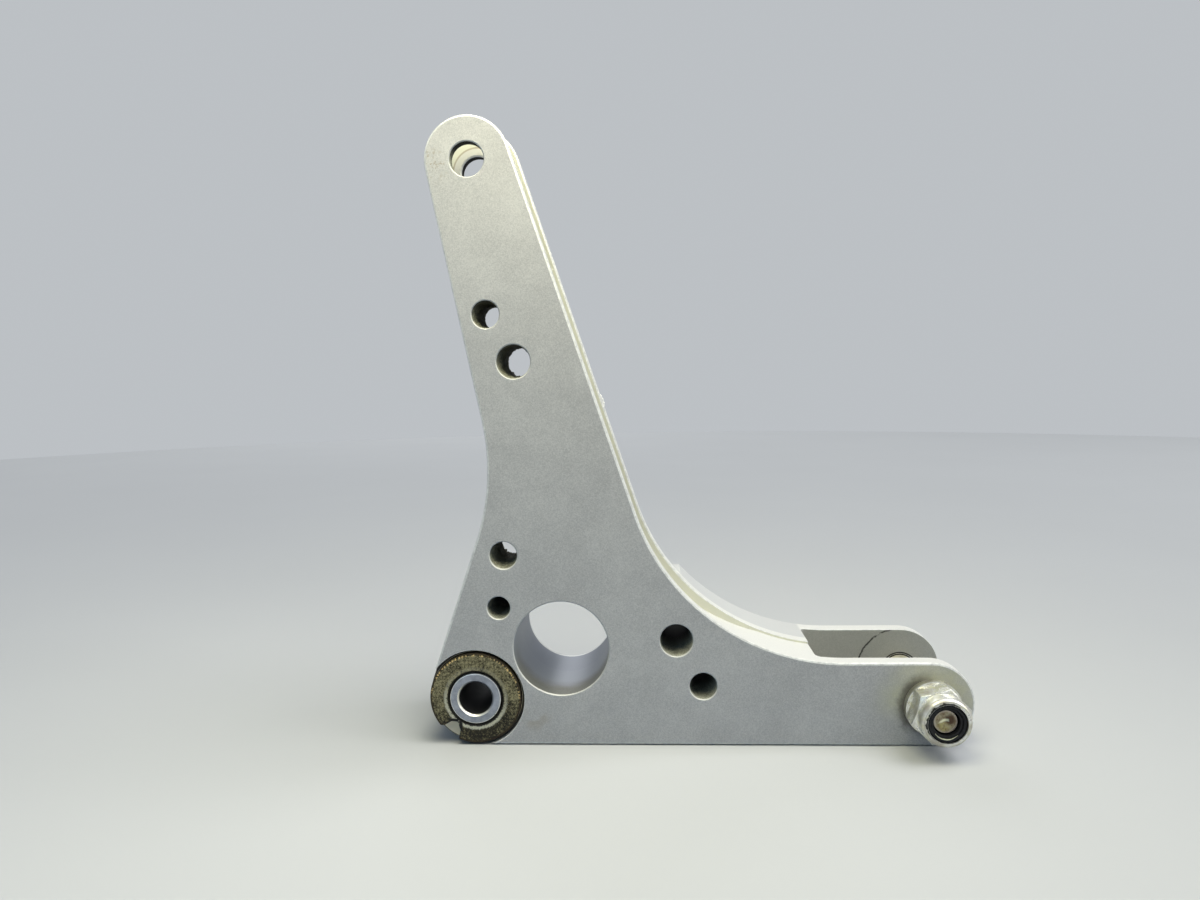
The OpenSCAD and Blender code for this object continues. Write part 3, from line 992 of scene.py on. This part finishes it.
    def burr(self) -> bmesh.types.BMesh:
        """Ragged sliver of metal raised on the second ear's right edge.

        Returns:
            A closed, thin, uneven ridge.
        """
        steps = 18
        lean = math.radians(self.edge_lean_deg)
        along = Vector((-math.sin(lean), 0.0, math.cos(lean)))
        out = Vector((math.cos(lean), 0.0, math.sin(lean)))
        base = Vector((self.burr_at[0], PART.arm_rear_y, self.burr_at[1]))
        rings = []
        for i in range(steps + 1):
            share = i / steps
            middle = base + along * (share - 0.5) * self.burr_length
            uneven = abs(noise.noise(Vector((share * 9.0, 1.7, 0.3))))
            rise = math.sin(math.pi * share) * (0.10 + 0.40 * uneven) + 0.02
            profile = ((-0.12, -0.75), (rise * 0.5, -0.6), (rise, -0.3), (rise * 0.4, -0.12), (-0.12, -0.1))
            rings.append([(middle + out * a + Vector((0.0, b, 0.0))) * MM for a, b in profile])
        return skin(rings, False)


@dataclass
class PivotSet:
    """Steel sleeve in its two flanged bushes."""

    bush_edge: float = 0.12
    bush_edge_deg: float = 50.0
    sleeve_edge: float = 0.16

    def build(self, nodes: Dict[str, bpy.types.Object]) -> None:
        """Dresses the pieces of the pivot.

        Args:
            nodes: CAD nodes by name.
        """
        cloth = ClothLaminate("cloth_laminate").build()
        for name in ("front_flanged_bush", "rear_flanged_bush"):
            dress(nodes[name], cloth, None, self.bush_edge, self.bush_edge_deg)
        steel = TurnedSteel("turned_steel").build()
        rim = BareEdge("sleeve_rim", (0.82, 0.83, 0.82), 0.2, 0.95).build()
        dress(nodes["pivot_sleeve"], steel, rim, self.sleeve_edge)


@dataclass
class ForkHardware:
    """Bolt, washers, lock nut and ear bushes of the lower fork."""

    nut_face_y: float = -19.3
    lip_t: float = 0.6
    lip_open_r: float = 3.55
    bolt_end_y: float = -17.9
    bolt_r: float = 2.38
    nut_top_z: float = 3.2
    ear_bush_d: float = 6.95
    nut_edge: float = 0.06
    nut_edge_deg: float = 24.0
    bolt_edge: float = 0.06
    bolt_edge_deg: float = 80.0
    washer_edge: float = 0.14
    bush_edge: float = 0.08

    def build(self, nodes: Dict[str, bpy.types.Object]) -> None:
        """Dresses the hardware and adds the torn edge of the locking ring and a metal shaving.

        Args:
            nodes: CAD nodes by name.
        """
        plate = DullPlating("dull_plating", worn=(0.36, 0.32, 0.25), wear=0.75, rough=0.22, metal=0.72,
                            lit_top_z=self.nut_top_z, smear=Hole(PART.bolt_at, 2 * self.lip_open_r)).build()
        rubbed = BareEdge("rubbed_plating", (0.88, 0.88, 0.83), 0.2, 0.9).build()
        dress(nodes["lock_nut"], plate, rubbed, self.nut_edge, self.nut_edge_deg)
        washer = DullPlating("washer_plating", wear=0.75, rough=0.28).build()
        for name in ("nut_washer", "head_washer"):
            dress(nodes[name], washer, rubbed, self.washer_edge)
        bolt = BoltSteel("bolt_steel", PART.bolt_at, self.bolt_end_y).build()
        dress(nodes["fork_bolt"], bolt, rubbed, self.bolt_edge, self.bolt_edge_deg)
        # The ear bushes get a dark outer ring that is partly painted shade.
        bush = DullPlating("bush_plating", (0.84, 0.82, 0.70), (0.78, 0.75, 0.58), wear=0.25, rough=0.4,
                           rim=Hole(PART.bolt_at, self.ear_bush_d)).build()
        for name in ("front_ear_bush", "rear_ear_bush"):
            dress(nodes[name], bush, None, self.bush_edge)
        black = MattPlastic("black_ring").build()
        dress(nodes["nut_insert"], black, None, self.bush_edge)
        add_piece("torn_ring_edge", self.torn_edge(), black)
        sliver = BareEdge("pale_sliver", (0.62, 0.63, 0.46), 0.4, 0.5).build()
        add_piece("metal_shaving", self.shaving(), sliver)

    def torn_edge(self) -> bmesh.types.BMesh:
        """Ragged collar of plastic squeezed up inside the nut's lip.

        Returns:
            A closed ring with an uneven crown.
        """
        sides = 96
        base = self.nut_face_y + self.lip_t - 0.02
        rings: List[List[Vector]] = [[], [], [], []]
        for j in range(sides):
            angle = 2 * math.pi * j / sides
            spot = Vector((math.cos(angle), math.sin(angle), 0.4))
            tear = noise.noise(spot * 3.1) * 0.5 + noise.noise(spot * 9.0) * 0.35
            crown = min(0.54, max(0.08, 0.36 + 0.34 * tear))
            inner = self.bolt_r + 0.34 + 0.18 * noise.noise(spot * 6.0 + Vector((3, 1, 2)))
            outer = self.lip_open_r - 0.03
            top = min(outer, outer - 0.22 + 0.2 * noise.noise(spot * 12.0))
            rings[0].append(around(PART.bolt_at, outer, angle, base))
            rings[1].append(around(PART.bolt_at, top, angle, base - crown))
            rings[2].append(around(PART.bolt_at, (inner + top) / 2, angle, base - crown * 0.55))
            rings[3].append(around(PART.bolt_at, inner, angle, base))
        return skin(rings, True)

    def shaving(self) -> bmesh.types.BMesh:
        """Thin curl of metal caught under the bolt's end.

        Returns:
            A closed sliver.
        """
        steps = 22
        rings: List[List[Vector]] = []
        for i in range(steps + 1):
            share = i / steps
            angle = math.radians(218 + 94 * share)
            half = 0.11 * math.sin(math.pi * min(1.0, share + 0.06)) + 0.015
            r = self.bolt_r + 0.42 + 0.10 * math.sin(5 * share)
            y = self.nut_face_y + self.lip_t - 0.34 + 0.10 * math.sin(7 * share)
            profile = ((-half, 0.0), (0.0, -half), (half, 0.0), (0.0, half))
            rings.append([around(PART.bolt_at, r + a, angle, y + b) for a, b in profile])
        return skin(rings, False)


@dataclass(frozen=True)
class Lamp:
    """Square soft light: places in millimetres, power in watts."""

    name: str
    place: Place
    aim: Place
    size: float
    power: float
    colour: Colour

    def build(self) -> None:
        """Adds the light to the scene."""
        data = bpy.data.lights.new(self.name, "AREA")
        data.size = self.size * MM
        data.energy = self.power
        data.color = self.colour
        light = add_object(self.name, data)
        light.location = Vector(self.place) * MM
        light.rotation_euler = (Vector(self.aim) - Vector(self.place)).to_track_quat("-Z", "Y").to_euler()


@dataclass
class Studio:
    """Pale ground, soft lights and a camera at the photograph's angle."""

    floor_z: float = -9.35
    floor_r: float = 900.0
    floor_sides: int = 128
    eye: Place = (32.947, -159.7, 60.937)
    yaw: float = 3.025
    pitch: float = -5.011
    roll: float = -1.168
    lens: float = 24.0
    sensor: float = 36.0
    clip_m: Spot = (0.01, 20.0)
    lamps: Sequence[Lamp] = (
        Lamp("key", (22, -68, 182), (15, -5, 75), 120, 0.235, (1.0, 0.965, 0.70)),
        Lamp("side", (1050, -80, 520), (40, 0, 40), 700, 4.1, (1.0, 1.0, 0.98)),
        Lamp("fill", (-120, -330, 180), (30, 0, 50), 240, 0.10, (0.50, 0.76, 1.0)),
        Lamp("back", (-240, 1100, 800), (30, 0, 50), 800, 3.2, (1.0, 1.0, 1.0)))
    sky_from: Place = (0.40, -0.06, 0.91)
    sky_strength: float = 1.85
    sky_angle_deg: float = 40.0
    soft: Colour = (0.62, 0.82, 1.0)
    soft_strength: float = 0.13
    backdrop: Colour = (0.505, 0.53, 0.555)

    def build(self) -> None:
        """Sets up ground, lights, world and camera."""
        self.ground()
        for lamp in self.lamps:
            lamp.build()
        self.sky()
        self.world()
        self.camera()
        bpy.context.scene.view_settings.view_transform = "Standard"

    def ground(self) -> None:
        """Wide round pale floor just under the part."""
        mesh = bmesh.new()
        turns = [2 * math.pi * i / self.floor_sides for i in range(self.floor_sides)]
        rim = [(self.floor_r * math.cos(a), self.floor_r * math.sin(a), 0.0) for a in turns]
        mesh.faces.new([mesh.verts.new(Vector(corner) * MM) for corner in rim])
        data = bpy.data.meshes.new("floor")
        mesh.to_mesh(data)
        mesh.free()
        data.materials.append(PaleGround().build())
        floor = add_object("floor", data)
        floor.location.z = self.floor_z * MM

    def sky(self) -> None:
        """Even soft light from overhead, which reaches the whole floor."""
        data = bpy.data.lights.new("sky", "SUN")
        data.energy = self.sky_strength
        data.angle = math.radians(self.sky_angle_deg)
        light = add_object("sky", data)
        light.rotation_euler = (-Vector(self.sky_from)).to_track_quat("-Z", "Y").to_euler()

    def world(self) -> None:
        """Even soft surroundings, a plain pale backdrop to the camera and in reflections."""
        world = bpy.data.worlds.new("surroundings")
        bpy.context.scene.world = world
        world.use_nodes = True
        g = Graph(world.node_tree)
        soft = g.node("ShaderNodeBackground", {},
                      {"Color": (*self.soft, 1.0), "Strength": self.soft_strength})
        plain = g.node("ShaderNodeBackground", {}, {"Color": (*self.backdrop, 1.0), "Strength": 1.0})
        mix = g.node("ShaderNodeMixShader", {}, {0: shown_rays(g), 1: soft, 2: plain})
        g.node("ShaderNodeOutputWorld", {}, {"Surface": mix}, None)

    def camera(self) -> None:
        """Camera at the photograph's place, angle and field of view."""
        data = bpy.data.cameras.new("camera")
        data.lens = self.lens
        data.sensor_width = self.sensor
        data.clip_start, data.clip_end = self.clip_m
        camera = add_object("camera", data)
        turn = (Matrix.Rotation(math.radians(self.yaw), 4, "Z")
                @ Matrix.Rotation(math.radians(90 + self.pitch), 4, "X")
                @ Matrix.Rotation(math.radians(self.roll), 4, "Z"))
        camera.matrix_world = Matrix.Translation(Vector(self.eye) * MM) @ turn
        bpy.context.scene.camera = camera


def main() -> None:
    """Builds the studio and every sub-assembly."""
    logging.basicConfig(level=logging.INFO, format="%(name)s: %(message)s")
    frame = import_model()
    Studio().build()
    for assembly in (CrankBody(), PivotSet(), ForkHardware()):
        assembly.build(frame["nodes"])


if __name__ == "__main__":
    main()
